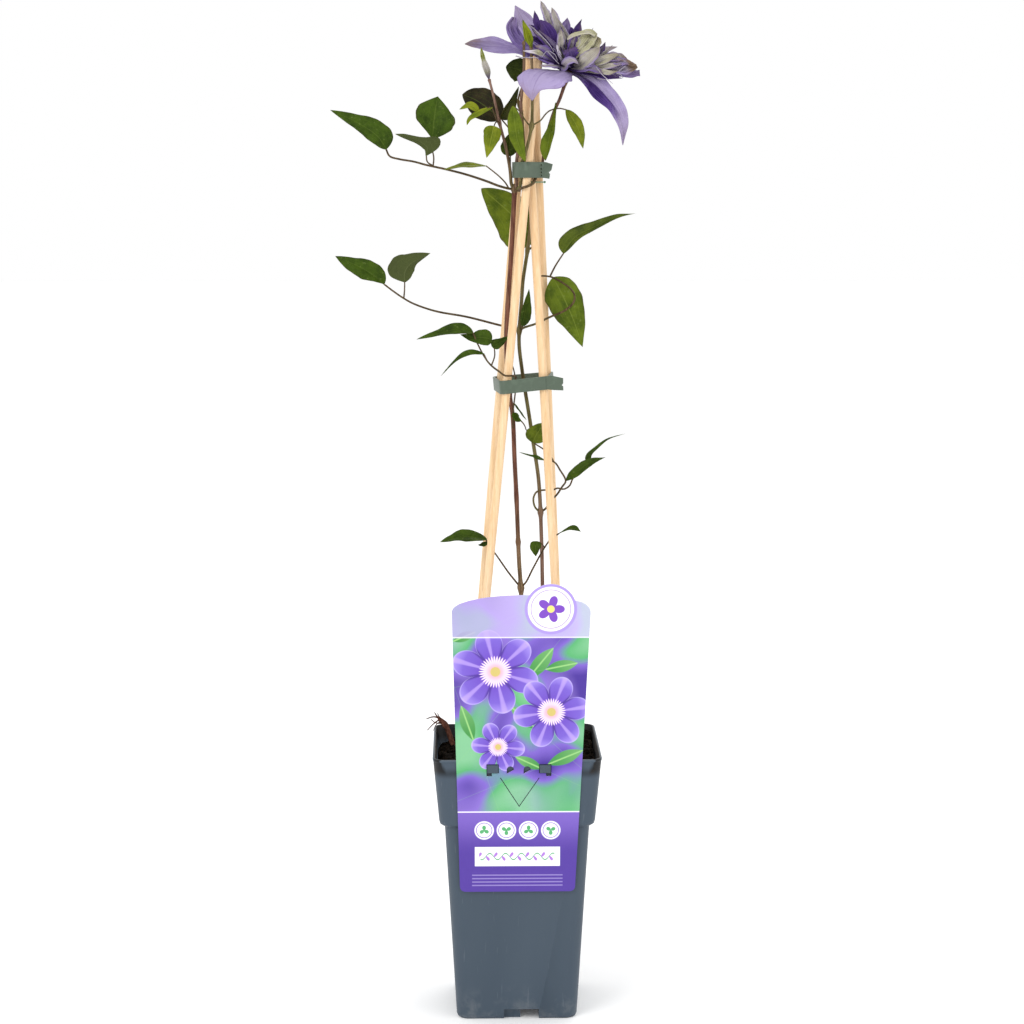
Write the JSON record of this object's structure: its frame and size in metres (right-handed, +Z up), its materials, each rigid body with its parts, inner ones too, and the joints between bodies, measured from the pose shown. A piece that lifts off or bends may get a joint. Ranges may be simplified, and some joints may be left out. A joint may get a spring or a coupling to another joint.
{
  "type": "potted climbing plant",
  "caption": "Young flowering climber in a square tapered pot, tied to leaning wooden canes with plastic clips, with side shoots, leaves, a blue-violet double bloom and a card label.",
  "frame": {"origin": "centre of the pot's underside, on the surface that the pot stands on", "axes": "+Z up along the canes, the label faces -Y, +X to the label reader's right"},
  "size_m": [0.2215, 0.1355, 0.737],
  "materials": {
    "pot_plastic": "slate grey moulded plastic, satin",
    "pale_wood": "bare pale wood, fine lengthwise grain",
    "strap_plastic": "grey-green moulded plastic, satin",
    "coated_wire": "green coated wire",
    "printed_card": "printed plastic card, satin",
    "compost": "moist dark peat compost, matt",
    "dead_root": "dry dead root, matt",
    "brown_stem": "red-brown young stem, satin",
    "olive_stem": "olive young stem, satin",
    "leaf_green": "deep green leaf, slightly glossy",
    "leaf_dark": "bronze-green leaf, slightly glossy",
    "leaf_lime": "young yellow-green leaf, slightly glossy",
    "petal_lilac": "lilac petal, soft matt",
    "petal_violet": "deep violet to silver-green petal, soft matt"
  },
  "bodies": {
    "root": {"pot": "pot_plastic", "cane_front_left": "pale_wood", "cane_back_left": "pale_wood", "cane_front_right": "pale_wood", "cane_back_right": "pale_wood", "clip_lower": "strap_plastic", "clip_upper": "strap_plastic", "wire_tie": "coated_wire", "label": "printed_card", "soil": "compost", "dry_root": "dead_root", "stem_brown": "brown_stem", "stem_green": "olive_stem", "shoot_bud_left": "brown_stem", "shoot_bud_middle": "brown_stem", "shoot_leafy": "olive_stem", "stalk_flower": "brown_stem", "leaf_low_left": "leaf_green", "leaf_low_right": "leaf_green", "leaf_twining": "leaf_green", "leaf_looped": "leaf_green", "leaf_curled": "leaf_green", "leaf_left_low": "leaf_green", "leaf_left_middle": "leaf_green", "leaf_left_upper": "leaf_green", "leaf_back": "leaf_green", "leaf_right": "leaf_green", "leaf_small_middle": "leaf_green", "leaf_top_left": "leaf_green", "leaf_top_right": "leaf_lime", "leaf_top_lime": "leaf_lime", "leaf_top_dark": "leaf_dark", "leaf_behind_flower": "leaf_dark", "leaf_above_clip": "leaf_dark", "bloom_tepals": "petal_lilac", "bloom_inner_petals": "petal_violet"}
  },
  "joints": []
}
